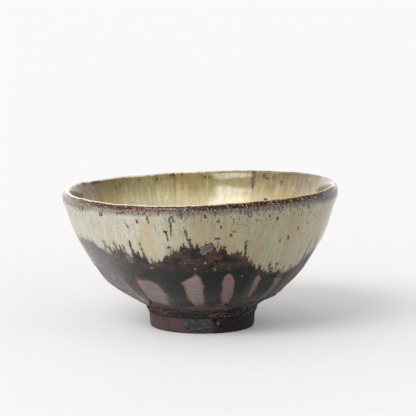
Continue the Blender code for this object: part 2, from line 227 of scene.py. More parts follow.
def noise(azimuth, along, cells, length, seed):
    """Smooth noise from -1 to 1 that closes round the bowl, with this many cells round it."""
    u = np.mod(azimuth / (2 * math.pi) * cells, cells)
    v = along / length + 2
    values = np.random.default_rng(seed).uniform(-1, 1, (cells, int(v.max()) + 3))
    i, j = np.floor(u).astype(int), np.floor(v).astype(int)
    a, b = smooth(u - i, 0, 1), smooth(v - j, 0, 1)
    i, k = i % cells, (i + 1) % cells
    low = values[i, j] * (1 - a) + values[k, j] * a
    high = values[i, j + 1] * (1 - a) + values[k, j + 1] * a
    return low * (1 - b) + high * b


def round_curve(points, azimuth):
    """The value at each azimuth of a closed curve through (degrees, value) points."""
    points = np.array(points, float)
    spots, values = np.concatenate([points[-1:] - (360, 0), points, points[:1] + (360, 0)]).T
    degrees = (np.degrees(azimuth) - spots[1]) % 360 + spots[1]
    i = np.clip(np.searchsorted(spots, degrees, side="right") - 1, 0, len(spots) - 2)
    share = smooth(degrees, spots[i], spots[i + 1])
    return values[i] + (values[i + 1] - values[i]) * share


def rim_lift(azimuth):
    """How far the lip stands above its mean height: highest on the right, with soft waves."""
    right = np.sin(azimuth)
    dip = 0.0004 * np.exp(-((np.degrees(azimuth) % 360 - 232) / 9) ** 2)
    waves = 0.0003 * np.sin(3 * azimuth + 0.6) - dip
    return 0.0018 * right + 0.0009 * right * right + waves - 0.00045


wall_low, wall_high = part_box("bowl_wall")
foot_low, foot_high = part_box("foot_ring")
collar_low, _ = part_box("foot_joint_collar")
RIM_RADIUS = (wall_high.x - wall_low.x + wall_high.y - wall_low.y) / 4
WALL_HEIGHT = wall_high.z - rim_lift(np.linspace(0, 2 * math.pi, 720)).max()
FOOT_RADIUS = (foot_high.y - foot_low.y) / 2
FOOT_OFFSET = (foot_high.x + foot_low.x) / 2
FOOT_HEIGHT = foot_high.z + 0.0003
BASE_HEIGHT = 0.0085
FOOT_WIDTH = 0.0056


def lengths(points):
    """How far along a line of points each of them is."""
    return np.concatenate([[0], np.cumsum(np.linalg.norm(np.diff(points, axis=0), axis=1))])


SECTION = np.array(OUTSIDE + LIP + INSIDE) * (RIM_RADIUS, WALL_HEIGHT)
ALONG = lengths(SECTION)
section = natural_spline(ALONG, SECTION)
CREST_AT, WELL_AT = ALONG[CREST], ALONG[-1]
outside_steps = np.linspace(0, CREST_AT, 400)
outside_heights = section(outside_steps)[0][:, 1]


def along_at(height):
    return np.interp(height, outside_heights, outside_steps)


def facet_cut(azimuth, height):
    """How deep the knife went in the lower outside."""
    degrees = (np.degrees(azimuth) - RIDGES[0]) % 360 + RIDGES[0]
    ends = np.append(RIDGES, RIDGES[0] + 360)
    i = np.clip(np.searchsorted(ends, degrees, side="right") - 1, 0, len(RIDGES) - 1)
    across = 2 * (degrees - ends[i]) / (ends[i + 1] - ends[i]) - 1
    fade = smooth(height, FACET_FOOT, FACET_FULL) * (1 - smooth(height, FACET_FULL, FACET_TOP))
    return FACET_DEPTH * (1 - np.abs(across) ** 2.2) * fade


def at(azimuth, radius, height, shift):
    """Points from their azimuth, radius and height, moved to the right by the shift."""
    return np.stack([radius * np.sin(azimuth) + shift, -radius * np.cos(azimuth), height], axis=-1)


def hand_thrown(azimuth, radius, height):
    """The bowl is slightly oval, its lip isn't level, and its foot is off centre."""
    up = np.maximum(0, height / WALL_HEIGHT)
    radius = radius * (1 + OVAL * np.cos(2 * azimuth + 0.5) * up)
    shift = FOOT_OFFSET * (1 - smooth(height, FOOT_HEIGHT, 2 * FOOT_HEIGHT))
    return at(azimuth, radius, height + rim_lift(azimuth) * up * up, shift)


def lip_lumps(azimuth):
    """The small unevenness of the lip, in metres."""
    flat = azimuth * 0
    return 0.22 * MM * noise(azimuth, flat, 38, 1, 8) + 0.12 * MM * noise(azimuth, flat, 110, 1, 9)


def left_belly(azimuth, height):
    """How far the wall swells out low on its left side."""
    off = turn(np.degrees(azimuth), BELLY_AZIMUTH) / BELLY_DEGREES
    return BELLY * np.exp(-off * off - ((height - BELLY_HEIGHT) / BELLY_RISE) ** 2)


def skin(azimuth, along, lift):
    """Points this far above the clay wall's surface."""
    azimuth, along, lift = np.broadcast_arrays(azimuth, along, lift)
    place, slope = section(along)
    length = np.hypot(slope[..., 0], slope[..., 1])
    radius, height = place[..., 0], place[..., 1]
    throwing = 0.06 * MM * noise(along * 0, along, 1, 0.0042, 5)
    dents = 0.22 * MM * noise(azimuth, along, 9, 0.018, 6) + 0.05 * MM * noise(azimuth, along, 60, 0.005, 7)
    lift = lift + (throwing + dents) * smooth(np.abs(along - CREST_AT), 0, 0.012)
    height = height + lip_lumps(azimuth) * (1 - smooth(np.abs(along - CREST_AT), 0.001, 0.007))
    radius = radius + np.where(along < CREST_AT, left_belly(azimuth, height) - facet_cut(azimuth, height), 0)
    radius = radius + lift * slope[..., 1] / length
    return hand_thrown(azimuth, radius, height - lift * slope[..., 0] / length)


def foot_skin(azimuth, radius, height):
    """Points of the foot, which is round about its own middle."""
    return at(*np.broadcast_arrays(azimuth, radius, height), FOOT_OFFSET)


# ---- where each glaze lies

def fringe_along(azimuth):
    """How far along the section the ash glaze's wavy edge lies, without its spikes."""
    return along_at(round_curve(FRINGE, azimuth) * MM)


def spikes(azimuth):
    """How far the iron glaze's hair-fine points reach up into the ash glaze, in metres."""
    count, rng = 340, np.random.default_rng(11)
    reach = np.zeros_like(azimuth)
    for _ in range(count):
        middle, half = rng.uniform(0, 2 * math.pi), rng.uniform(0.007, 0.012)
        tall = 0.8 * MM + 4.2 * MM * rng.uniform() ** 2.0
        off = np.abs((azimuth - middle + math.pi) % (2 * math.pi) - math.pi) / half
        reach = np.maximum(reach, tall * np.maximum(0, 1 - off) ** 0.8)
    return reach


def on_wall(azimuth, along):
    """A place's azimuth in degrees, its distance along and its radius in mm, and a first distance."""
    far = np.full(np.broadcast(azimuth, along).shape, 50.0)
    return np.degrees(azimuth), along / MM, section(along)[0][..., 0] / MM, far


def from_segment(x0, y0, run, rise):
    """How far a point is from a straight line's nearest place, from its offset to the line's start."""
    share = np.clip((x0 * run + y0 * rise) / np.maximum(run * run + rise * rise, 1e-6), 0, 1)
    return np.hypot(x0 - share * run, y0 - share * rise)


def nearest_stroke(azimuth, along, strokes, level=along_at):
    """Millimetres from the nearest stroke's uneven edge: negative inside it. The level says how far
    along the section a stroke's heights or depths are."""
    wobble = noise(azimuth, along, 330, 0.0011, 41)
    degrees, up, radius, nearest = on_wall(azimuth, along)
    for a0, h0, a1, h1, half in strokes:
        x0, run = np.radians(turn(degrees, a0)) * radius, math.radians(a1 - a0) * radius
        y0, y1 = (up - level(h * MM) / MM for h in (h0, h1))
        away = from_segment(x0, y0, run, y0 - y1)
        nearest = np.minimum(nearest, away - half * (1 + 0.45 * wobble) - 0.07 * wobble)
    return nearest


def window_distance(azimuth, along, window):
    """Millimetres from a window's edge: negative inside it."""
    degrees, up, radius, nearest = on_wall(azimuth, along)
    inside = np.zeros(nearest.shape, bool)
    degrees = turn(degrees, window[0][0]) + window[0][0]
    for (a0, h0), (a1, h1) in zip(window, window[1:] + window[:1]):
        x0, run = np.radians(degrees - a0) * radius, math.radians(a1 - a0) * radius
        y0, y1 = (up - along_at(h * MM) / MM for h in (h0, h1))
        rise = y0 - y1
        nearest = np.minimum(nearest, from_segment(x0, y0, run, rise))
        level = np.where(rise == 0, 1e-9, rise)
        inside ^= ((y0 < 0) != (y1 < 0)) & (x0 < run * y0 / level)
    return np.where(inside, -nearest, nearest)


def ash_distance(azimuth, along):
    """How far above the ragged edge of the ash glaze a point is, in millimetres."""
    flat = along * 0
    ragged = 0.7 * noise(azimuth, flat, 110, 1, 12) + 0.5 * noise(azimuth, flat, 290, 1, 13)
    edge = (along - fringe_along(azimuth) - spikes(azimuth)) / MM - ragged
    return np.minimum(edge, nearest_stroke(azimuth, along, PINS))


def above_end(azimuth, along):
    """How far a point is above the lower end of the iron glaze, in millimetres."""
    return (along - along_at(round_curve(TONGUES, azimuth) * MM)) / MM


def glaze_edge(azimuth, along):
    """How far inside the iron glaze a point is, in millimetres. It's negative on bare clay."""
    inside = above_end(azimuth, along)
    for window in WINDOWS:
        inside = np.minimum(inside, window_distance(azimuth, along, window))
    rough = 0.32 * noise(azimuth, along, 110, 0.0024, 21) + 0.22 * noise(azimuth, along, 260, 0.001, 22)
    return inside + rough


def iron_lift(azimuth, along):
    """The iron glaze's thickness over the clay: thick and round at the end of each tongue."""
    edge = glaze_edge(azimuth, along)
    bead = 0.6 * MM * np.exp(-((np.maximum(above_end(azimuth, along), 0) - 1.2) / 2.6) ** 2)
    full = IRON_THICK + bead
    return np.where(edge > 0, full * (1 - np.exp(-edge / 0.6)), np.maximum(edge * 0.6 * MM, -EMBED))


def ash_lift(azimuth, along):
    """The ash glaze's height over the clay. It lies on the iron glaze at its lower edge."""
    over = (along - fringe_along(azimuth)) / MM
    return IRON_THICK - EMBED + (ASH_THICK + EMBED) * smooth(over, -3, 4)


# ---- meshes

def enclosed(vertices, corners):
    """The volume inside closed faces: negative if the faces point inwards."""
    a, b, c = (vertices[corners[:, i]] for i in (0, 1, 2))
    return np.sum(a * np.cross(b, c)) / 6


def finish_mesh(name, vertices, quads, attributes, spec, node, caps=None):
    """One closed object from four-cornered faces and, if there are any, three-cornered caps."""
    caps = np.zeros((0, 3), int) if caps is None else caps
    if enclosed(vertices, np.vstack([quads[:, :3], quads[:, [0, 2, 3]], caps])) < 0:
        quads, caps = quads[:, ::-1], caps[:, ::-1]
    mesh = bpy.data.meshes.new(name)
    mesh.from_pydata(vertices.tolist(), [], quads.tolist() + caps.tolist())
    for key, values in attributes.items():
        vector = values.ndim == 2
        layer = mesh.attributes.new(key, "FLOAT_VECTOR" if vector else "FLOAT", "POINT")
        layer.data.foreach_set("vector" if vector else "value", values.astype(np.float32).ravel())
    mesh.materials.append(spec)
    mesh.shade_smooth()
    mesh.update()
    obj = bpy.data.objects.new(name, mesh)
    bpy.context.scene.collection.objects.link(obj)
    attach(obj, "root")
    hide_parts(node)
    return obj


def grid_faces(rows, columns, closed):
    """Quads between rings of points, as the corners' numbers. The rings close round the bowl."""
    row = np.arange(rows if closed else rows - 1)[:, None]
    column = np.arange(columns)[None, :]
    after, beside = (row + 1) % rows, (column + 1) % columns
    places = ((row, column), (row, beside), (after, beside), (after, column))
    corners = [np.broadcast_to(r * columns + c, (len(row), columns)) for r, c in places]
    return np.stack(corners, axis=-1).reshape(-1, 4)


def coordinates(azimuth, along, wide=60.0, **marks):
    """What materials read: the place on a straight cylinder, the distance below the lip, and marks."""
    azimuth, along = np.broadcast_arrays(azimuth, along)
    run = at(azimuth, wide, along / MM, 0).reshape(-1, 3)
    return {"run": run, "lip": ((CREST_AT - along) / MM).ravel(), **{k: v.ravel() for k, v in marks.items()}}


def ring_angles(columns):
    return np.linspace(0, 2 * math.pi, columns, endpoint=False)


def tube(name, rows, attributes, spec, node, capped=False):
    """A closed shell of rings: joined end to end, or capped with a point at each end."""
    count, columns = rows.shape[:2]
    vertices, caps = rows.reshape(-1, 3), None
    if capped:
        ring = np.arange(columns)
        after = np.roll(ring, -1)
        first, last = np.full(columns, count * columns), np.full(columns, count * columns + 1)
        end = (count - 1) * columns
        caps = np.vstack([np.stack([first, ring, after], 1), np.stack([last, end + after, end + ring], 1)])
        vertices = with_tips(vertices, columns)
        attributes = {key: with_tips(values, columns) for key, values in attributes.items()}
    return finish_mesh(name, vertices, grid_faces(count, columns, not capped), attributes, spec, node, caps)


def with_tips(values, columns):
    """The rows' values, with the means of the first and the last ring added."""
    return np.concatenate([values, [values[:columns].mean(axis=0), values[-columns:].mean(axis=0)]])


def pierced(name, top, bottom, keep, attributes, spec, node):
    """A shell of two sheets that is only there where keep says so, with walls round each hole."""
    rows, columns = top.shape[:2]
    faces = grid_faces(rows, columns, False).reshape(rows - 1, columns, 4)
    half = rows * columns
    kept = faces[keep]
    parts = [kept, kept[:, ::-1] + half]
    missing = np.pad(~keep, ((1, 1), (0, 0)), constant_values=True)
    left, right = (np.roll(missing[1:-1], step, axis=1) for step in (1, -1))
    sides = ((left, 3, 0), (right, 1, 2), (missing[:-2], 0, 1), (missing[2:], 2, 3))
    for beside, a, b in sides:
        edge = faces[keep & beside]
        parts.append(np.stack([edge[:, b], edge[:, a], edge[:, a] + half, edge[:, b] + half], axis=-1))
    faces = np.vstack(parts)
    used, renumbered = np.unique(faces, return_inverse=True)
    vertices = np.vstack([top.reshape(-1, 3), bottom.reshape(-1, 3)])[used]
    attributes = {key: np.concatenate([v, v])[used] for key, v in attributes.items()}
    return finish_mesh(name, vertices, renumbered.reshape(-1, 4), attributes, spec, node)


# ---- materials

class Nodes:
    """Short names for making and wiring the nodes of one tree."""

    def __init__(self, tree):
        self.tree = tree

    def add(self, kind, **settings):
        node = self.tree.nodes.new("ShaderNode" + kind)
        for key, value in settings.items():
            setattr(node, key, value)
        return node

    def put(self, socket, value):
        if isinstance(value, bpy.types.NodeSocket):
            self.tree.links.new(value, socket)
        elif isinstance(value, tuple) and len(value) == 3 and socket.type == "RGBA":
            socket.default_value = (*value, 1)
        else:
            socket.default_value = value

    def wired(self, kind, values, output, **settings):
        """One output of a new node that has these values or links in its inputs."""
        node = self.add(kind, **settings)
        for key, value in values.items():
            self.put(node.inputs[key], value)
        return node.outputs[output]

    def attribute(self, name, output="Fac"):
        return self.add("Attribute", attribute_name=name).outputs[output]

    def maths(self, operation, a, b=0.0):
        return self.wired("Math", {0: a, 1: b}, 0, operation=operation)

    def times(self, a, b):
        return self.maths("MULTIPLY", a, b)

    def scaled(self, vector, factors):
        return self.wired("VectorMath", {0: vector, 1: factors}, 0, operation="MULTIPLY")

    def noise(self, vector, scale, detail=2.0, roughness=0.5, distortion=0.0):
        values = {"Scale": scale, "Detail": detail, "Roughness": roughness, "Distortion": distortion}
        return self.wired("TexNoise", {"Vector": vector, **values}, "Fac")

    def drawn(self, run, upward, *settings):
        """Noise, drawn out along the wall if upward is less than 1, and squashed if it's more."""
        return self.noise(self.scaled(run, (1, 1, upward)), *settings)

    def step(self, value, start, end):
        """0 at the start and 1 at the end, smoothly; start may be the larger of the two."""
        if start > end:
            return self.maths("SUBTRACT", 1.0, self.step(value, end, start))
        values = {"Value": value, "From Min": start, "From Max": end}
        return self.wired("MapRange", values, "Result", interpolation_type="SMOOTHSTEP")

    def mix(self, share, a, b, blend_type="MIX"):
        """A colour between two."""
        return self.wired("Mix", {0: share, 6: a, 7: b}, 2, data_type="RGBA", blend_type=blend_type)

    def tint(self, share, colour, factor):
        """The colour, darkened towards its product with the factor."""
        return self.mix(share, colour, factor, "MULTIPLY")

    def blend(self, share, a, b):
        """A number between two."""
        return self.wired("Mix", {0: share, 2: a, 3: b}, 0, data_type="FLOAT")

    def bump(self, height, distance_mm):
        return self.wired("Bump", {"Distance": distance_mm * MM, "Height": height}, "Normal")

    def uneven(self, value, texture, amount):
        """The value, made uneven by a texture that runs from 0 to 1."""
        return self.maths("ADD", value, self.times(self.maths("SUBTRACT", texture, 0.5), amount))

    def part(self, vector, axis):
        """One of a vector's three numbers."""
        return self.wired("SeparateXYZ", {0: vector}, axis)

    def side(self, run, left, right):
        """0 left of one place and 1 right of the other, in millimetres across the front."""
        return self.step(self.part(run, 0), left, right)


class Shader(Nodes):
    """The nodes of one new material, with its surface shader."""

    def __init__(self, name):
        self.material = bpy.data.materials.new(name)
        self.material.use_nodes = True
        super().__init__(self.material.node_tree)
        self.surface = self.tree.nodes["Principled BSDF"]

    def finish(self, colour, roughness, normal, ior=1.5, shine=0.5):
        self.put(self.surface.inputs["Base Color"], colour)
        self.put(self.surface.inputs["Roughness"], roughness)
        self.put(self.surface.inputs["Normal"], normal)
        self.surface.inputs["IOR"].default_value = ior
        self.surface.inputs["Specular IOR Level"].default_value = shine
        return self.material


def ash_streaks(sh, run, pale, grey, warm, dark):
    """Pale glass with grey and ochre streaks and dark flecks: its colour and height."""
    broad = sh.drawn(run, 0.14, 0.11, 3, 0.55)
    streak = sh.drawn(run, 0.16, 0.6, 4, 0.65, 0.3)
    fine = sh.drawn(run, 0.3, 2.2, 3, 0.6)
    cloud = sh.drawn(run, 0.5, 0.25, 4, 0.65)
    colour = sh.mix(sh.step(streak, 0.38, 0.64), pale, grey)
    colour = sh.mix(sh.times(sh.step(broad, 0.42, 0.64), 0.85), colour, warm)
    colour = sh.mix(sh.times(sh.step(cloud, 0.5, 0.72), 0.4), colour, pale)
    flecks = sh.step(sh.drawn(run, 0.45, 1.3, 3, 0.65, 0.4), 0.63, 0.7)
    colour = sh.mix(sh.times(flecks, 0.85), colour, dark)
    colour = sh.mix(sh.times(sh.step(fine, 0.5, 0.75), 0.4), colour, dark)
    return colour, sh.blend(0.5, streak, fine)


def iron_look(sh, run):
    """Black-brown glass with rust streaks and specks, and a painted grey sheen on its left side: its colour,
    roughness and height.
    """
    cloud = sh.drawn(run, 1.6, 0.16, 4, 0.6)
    smear = sh.noise(sh.scaled(run, (0.75, 0.75, 1.4)), 1, 4, 0.65, 0.6)
    speck = sh.noise(run, 1.7, 3, 0.6)
    grain = sh.noise(run, 5, 2, 0.5)
    high = sh.step(sh.attribute("lip"), 38, 29)
    rusty = sh.times(sh.step(cloud, 0.4, 0.56), high)
    colour = sh.mix(rusty, (0.0045, 0.0055, 0.0055), (0.024, 0.015, 0.012))
    colour = sh.mix(sh.times(sh.step(smear, 0.47, 0.62), rusty), colour, (0.066, 0.031, 0.016))
    colour = sh.mix(sh.times(sh.step(speck, 0.4, 0.35), high), colour, (0.003, 0.003, 0.003))
    specks = sh.times(sh.step(speck, 0.65, 0.69), sh.blend(high, 0.5, 1))
    colour = sh.mix(specks, colour, (0.26, 0.135, 0.08))
    stone = sh.uneven(sh.attribute("stone"), grain, 0.5)
    colour = sh.mix(sh.step(stone, 0.45, 0.15), colour, (0.01, 0.008, 0.01))
    middle = sh.step(sh.uneven(stone, speck, 1.4), -0.35, -0.75)
    pink = sh.mix(middle, (0.23, 0.115, 0.085), (0.068, 0.07, 0.082))
    pink = sh.mix(sh.times(sh.step(speck, 0.5, 0.42), 0.85), pink, (0.035, 0.03, 0.036))
    colour = sh.mix(sh.step(stone, 0.05, -0.2), colour, pink)
    # Painted reflection: a grey sheen on the left side of the glaze, strongest at the far left, stands in
    # for the bright surroundings mirrored in the glossy glaze.
    painted_sheen = sh.maths("ADD", sh.times(sh.side(run, 14, -30), 0.14), sh.times(sh.side(run, -26, -56), 0.66))
    colour = sh.mix(sh.times(painted_sheen, sh.step(smear, 0.22, 0.58)), colour, (0.165, 0.156, 0.154))
    return colour, sh.blend(rusty, 0.2, 0.3), sh.blend(0.4, speck, grain)


def lip_look(sh, run, colour):
    """The burnt red-brown line just under the lip, the dark ticks that hang from it, and painted highlights:
    pale glints in the line and a pale line along the crest.
    """
    lip = sh.attribute("lip")
    ticks = sh.drawn(run, 0.35, 1.1, 4, 0.65)
    mottle = sh.noise(run, 1.3, 4, 0.65)
    fleck = sh.noise(run, 2.3, 2, 0.6)
    hang = sh.drawn(run, 0, 0.1, 2)
    right = sh.side(run, -30, 5)
    below = sh.maths("SUBTRACT", lip, sh.times(hang, 2.4))
    veil = sh.step(sh.uneven(below, ticks, 3.6), 3.8, 0.9)
    colour = sh.mix(sh.times(veil, 0.92), colour, sh.mix(right, (0.125, 0.11, 0.088), (0.07, 0.064, 0.055)))
    dark = sh.times(sh.step(ticks, 0.5, 0.6), sh.step(below, 4.2, 1.4))
    colour = sh.mix(sh.times(dark, 0.92), colour, (0.02, 0.019, 0.023))
    dots = sh.drawn(run, 0.6, 1.1, 3, 0.6)
    dots = sh.step(sh.maths("ADD", dots, sh.times(right, 0.045)), 0.6, 0.66)
    dots = sh.times(dots, sh.step(below, 16, 3))
    colour = sh.mix(sh.times(dots, 0.8), colour, (0.045, 0.043, 0.042))
    burnt = sh.step(sh.uneven(lip, mottle, 2.6), 2.25, 1.9)
    brown = sh.mix(sh.step(fleck, 0.46, 0.56), (0.006, 0.003, 0.002), (0.11, 0.026, 0.009))
    brown = sh.tint(sh.times(right, 0.7), brown, (0.35, 0.42, 0.5))
    # Painted highlight: the pale specks in the brown line stand in for glints of light on it.
    brown = sh.mix(sh.step(fleck, 0.62, 0.66), brown, (0.5, 0.38, 0.24))
    colour = sh.mix(burnt, colour, brown)
    # Painted highlight: the pale line along the crest, on the left and the middle, stands in for the light's
    # shine on the rounded glossy lip; on the right the crest stays dark brown.
    crest = sh.step(sh.uneven(lip, mottle, 1), 0.5, 0.2)
    return sh.mix(crest, colour, sh.mix(sh.side(run, -6, 14), (0.66, 0.62, 0.52), (0.2, 0.16, 0.11)))


def outer_glaze():
    """The outside's glazes: ash above its ragged edge, iron below it, and the burnt lip."""
    sh = Shader("outer_glaze")
    run = sh.attribute("run", "Vector")
    fine = sh.drawn(run, 0.28, 1.5, 3, 0.6)
    ash = sh.uneven(sh.attribute("ash"), fine, 3.4)
    ash = sh.maths("MINIMUM", ash, sh.maths("SUBTRACT", sh.uneven(sh.attribute("stone"), fine, 0.6), 0.55))
    cream = (0.405, 0.388, 0.315), (0.318, 0.314, 0.258), (0.355, 0.3, 0.2), (0.125, 0.11, 0.07)
    colour, height = ash_streaks(sh, run, *cream)
    browner = sh.maths("SUBTRACT", sh.side(run, -34, 10), sh.times(sh.side(run, 28, 50), 0.35))
    colour = sh.tint(browner, colour, (0.625, 0.595, 0.49))
    colour = sh.mix(sh.times(sh.step(ash, 1.8, 0.1), 0.3), colour, (0.14, 0.13, 0.08))
    colour = lip_look(sh, run, colour)
    spot = sh.uneven(sh.attribute("spot"), fine, 0.7)
    colour = sh.mix(sh.step(spot, 0.3, -0.05), colour, (0.06, 0.034, 0.022))
    colour = sh.mix(sh.step(spot, -0.35, -0.65), colour, (0.17, 0.16, 0.17))
    iron, iron_rough, iron_height = iron_look(sh, run)
    share = sh.step(ash, -0.16, 0.18)
    colour = sh.mix(share, iron, colour)
    height = sh.blend(share, iron_height, height)
    return sh.finish(colour, sh.blend(share, iron_rough, 0.12), sh.bump(height, 0.14), 1.5, 0.25)


def iron_glaze():
    """The iron glaze, rust-red where it thins at the edge of a window, and near-black at the end of each
    tongue as painted shade.
    """
    sh = Shader("iron_glaze")
    run = sh.attribute("run", "Vector")
    colour, rough, height = iron_look(sh, run)
    patchy = sh.noise(run, 0.75, 4, 0.65)
    edge = sh.uneven(sh.attribute("edge"), patchy, 3.4)
    drop = sh.attribute("drop")
    rust = sh.times(sh.step(edge, 0.6, 0.05), sh.step(drop, 1.2, 3.2))
    # Painted shade: the near-black over the lowest two millimetres of each tongue stands in for the shade
    # under its thick rounded end.
    colour = sh.mix(sh.step(drop, 2.2, 0.8), colour, (0.002, 0.002, 0.002))
    colour = sh.mix(rust, colour, (0.145, 0.06, 0.036))
    return sh.finish(colour, rough, sh.bump(height, 0.1), 1.5, 0.18)


def inner_glaze():
    """Olive glass near the lip that pools pale lower down, with red-brown drips and hair lines, and a
    painted highlight just inside the lip.
    """
    sh = Shader("inner_glaze")
    run = sh.attribute("run", "Vector")
    pooled = (0.56, 0.51, 0.34), (0.46, 0.42, 0.26), (0.48, 0.41, 0.22), (0.24, 0.19, 0.08)
    olive = (0.215, 0.175, 0.058), (0.17, 0.14, 0.042), (0.185, 0.13, 0.03), (0.06, 0.042, 0.012)
    pool, pool_height = ash_streaks(sh, run, *pooled)
    thin, _ = ash_streaks(sh, run, *olive)
    depth = sh.times(sh.attribute("lip"), -1)
    streak = sh.drawn(run, 0.12, 0.45, 4, 0.65)
    place = sh.attribute("place", "Vector")
    cloud = sh.step(sh.noise(place, 0.22, 5, 0.65), 0.38, 0.62)
    middle = sh.mix(cloud, (0.36, 0.32, 0.17), (0.5, 0.46, 0.31))
    pool = sh.mix(sh.step(sh.uneven(depth, streak, 14), 32, 52), pool, middle)
    colour = sh.mix(sh.step(sh.uneven(depth, streak, 16), 4, 17), thin, pool)
    hair = sh.drawn(run, 0.22, 0.75, 4, 0.65)
    hair = sh.times(sh.step(hair, 0.5, 0.64), sh.step(sh.uneven(depth, hair, 8), 9, 2))
    colour = sh.mix(sh.times(hair, 0.75), colour, (0.06, 0.045, 0.018))
    ochre = sh.maths("ADD", sh.side(place, -31, -55), sh.side(place, 20, 48))
    colour = sh.tint(ochre, colour, (0.66, 0.585, 0.36))
    # Painted highlight: the pale band just inside the lip, on the left and the middle, stands in for the
    # light's shine on the rounded glossy rim; on the right it is dark brown.
    rim = sh.step(sh.uneven(depth, streak, 2), 1, 0.2)
    pale = sh.mix(sh.side(run, -6, 14), (0.6, 0.56, 0.46), (0.26, 0.22, 0.14))
    colour = sh.mix(sh.times(rim, 0.8), colour, pale)
    fine = sh.noise(run, 1.6, 3, 0.6)
    spot = sh.uneven(sh.attribute("spot"), fine, 0.8)
    brown = sh.mix(sh.step(fine, 0.42, 0.56), (0.024, 0.006, 0.003), (0.13, 0.026, 0.006))
    colour = sh.mix(sh.step(spot, 0.3, -0.1), colour, brown)
    return sh.finish(colour, 0.06, sh.bump(pool_height, 0.05), 1.62, 0.35)


def bare_clay():
    """Mauve-grey stoneware with fine turning lines, burnt orange beside the glaze, and darkened low down by
    painted shade.
    """
    sh = Shader("bare_clay")
    run = sh.attribute("run", "Vector")
    lines = sh.noise(sh.scaled(run, (0.06, 0.06, 1)), 1.9, 4, 0.7)
    grain = sh.noise(run, 4, 3, 0.6)
    colour = sh.mix(sh.step(lines, 0.35, 0.65), (0.115, 0.09, 0.094), (0.215, 0.18, 0.185))
    colour = sh.mix(sh.times(sh.step(grain, 0.55, 0.7), 0.5), colour, (0.07, 0.05, 0.05))
    colour = sh.tint(sh.side(run, -15, 25), colour, (0.66, 0.6, 0.58))
    # Painted shade: the low band of clay, below the ends of the iron glaze and above the foot's collar, is
    # darkened towards this colour to stand in for the shade under the wall; the colour called burnt here is
    # this painted shade.
    burnt = sh.mix(sh.step(lines, 0.4, 0.6), (0.032, 0.019, 0.018), (0.095, 0.06, 0.057))
    colour = sh.mix(sh.attribute("low"), colour, burnt)
    edge = sh.uneven(sh.attribute("edge"), sh.noise(run, 0.8, 3, 0.6), 3.2)
    colour = sh.mix(sh.step(edge, -0.8, -0.3), colour, (0.165, 0.072, 0.048))
    return sh.finish(colour, 0.6, sh.bump(sh.blend(0.5, lines, grain), 0.2), 1.45, 0.3)


def foot_clay(name, pitted):
    """The foot's clay: mauve-brown, much darker towards its right side, with pits and a dark joint."""
    sh = Shader(name)
    run = sh.attribute("run", "Vector")
    grain = sh.noise(run, 1.5, 4, 0.7)
    pits = sh.noise(run, 0.8 + 0.5 * pitted, 3, 0.6)
    colour = sh.mix(sh.step(grain, 0.35, 0.65), (0.037, 0.02, 0.02), (0.08, 0.048, 0.048))
    darker_right = sh.mix(sh.step(grain, 0.42, 0.62), (0.003, 0.002, 0.002), (0.015, 0.01, 0.009))
    granules = sh.step(sh.noise(run, 1.9, 3, 0.6), 0.54, 0.6)
    darker_right = sh.mix(sh.times(granules, 0.15 + 0.85 * pitted), darker_right, (0.17, 0.16, 0.155))
    colour = sh.tint(pitted, colour, (1.3, 1.3, 1.3))
    colour = sh.mix(sh.step(sh.uneven(sh.attribute("shade"), pits, 1.4), 0.25, 0.6), colour, darker_right)
    edge = 0.64 - 0.12 * pitted
    rust = sh.uneven(sh.attribute("rust"), grain, 0.8)
    pit = sh.step(sh.uneven(sh.attribute("pit"), grain, 1.6), 0.25, -0.15)
    pit = sh.maths("MAXIMUM", pit, sh.step(pits, edge, edge + 0.04))
    off = sh.maths("ABSOLUTE", sh.maths("SUBTRACT", sh.uneven(sh.part(run, 2), grain, 0.8), FOOT_JOINT))
    pit = sh.maths("MAXIMUM", pit, sh.times(sh.step(off, 0.5, 0.15), sh.step(pits, 0.4, 0.6)))
    colour = sh.mix(pit, colour, (0.002, 0.002, 0.002))
    colour = sh.mix(sh.step(rust, 0.2, -0.3), colour, (0.105, 0.046, 0.028))
    height = sh.maths("SUBTRACT", grain, sh.times(pit, 1.5))
    return sh.finish(colour, 0.55, sh.bump(height, 0.5), 1.45, 0.1)


def splash_glaze(name, dark, pale, share):
    """Glaze that landed on the foot: mottled, with small black pits."""
    sh = Shader(name)
    run = sh.attribute("run", "Vector")
    cloud = sh.noise(run, 0.6, 4, 0.7)
    pits = sh.noise(run, 1, 3, 0.6)
    colour = sh.mix(sh.step(cloud, share, share + 0.15), dark, pale)
    colour = sh.mix(sh.step(pits, 0.59, 0.62), colour, (0.003, 0.003, 0.003))
    return sh.finish(colour, 0.35, sh.bump(sh.blend(0.5, cloud, pits), 0.3), 1.45, 0.16)


# ---- the pieces

def closed_band(front, back, start, end):
    """The azimuths of a coat, and its places along the section: up its face, then down its back."""
    share = np.concatenate([np.linspace(0, 1, front), np.linspace(1, 0, back)])[:, None]
    along = np.broadcast_to(start + (end - start) * share, (front + back, ASH_COLUMNS))
    return np.broadcast_to(ring_angles(ASH_COLUMNS), along.shape), along


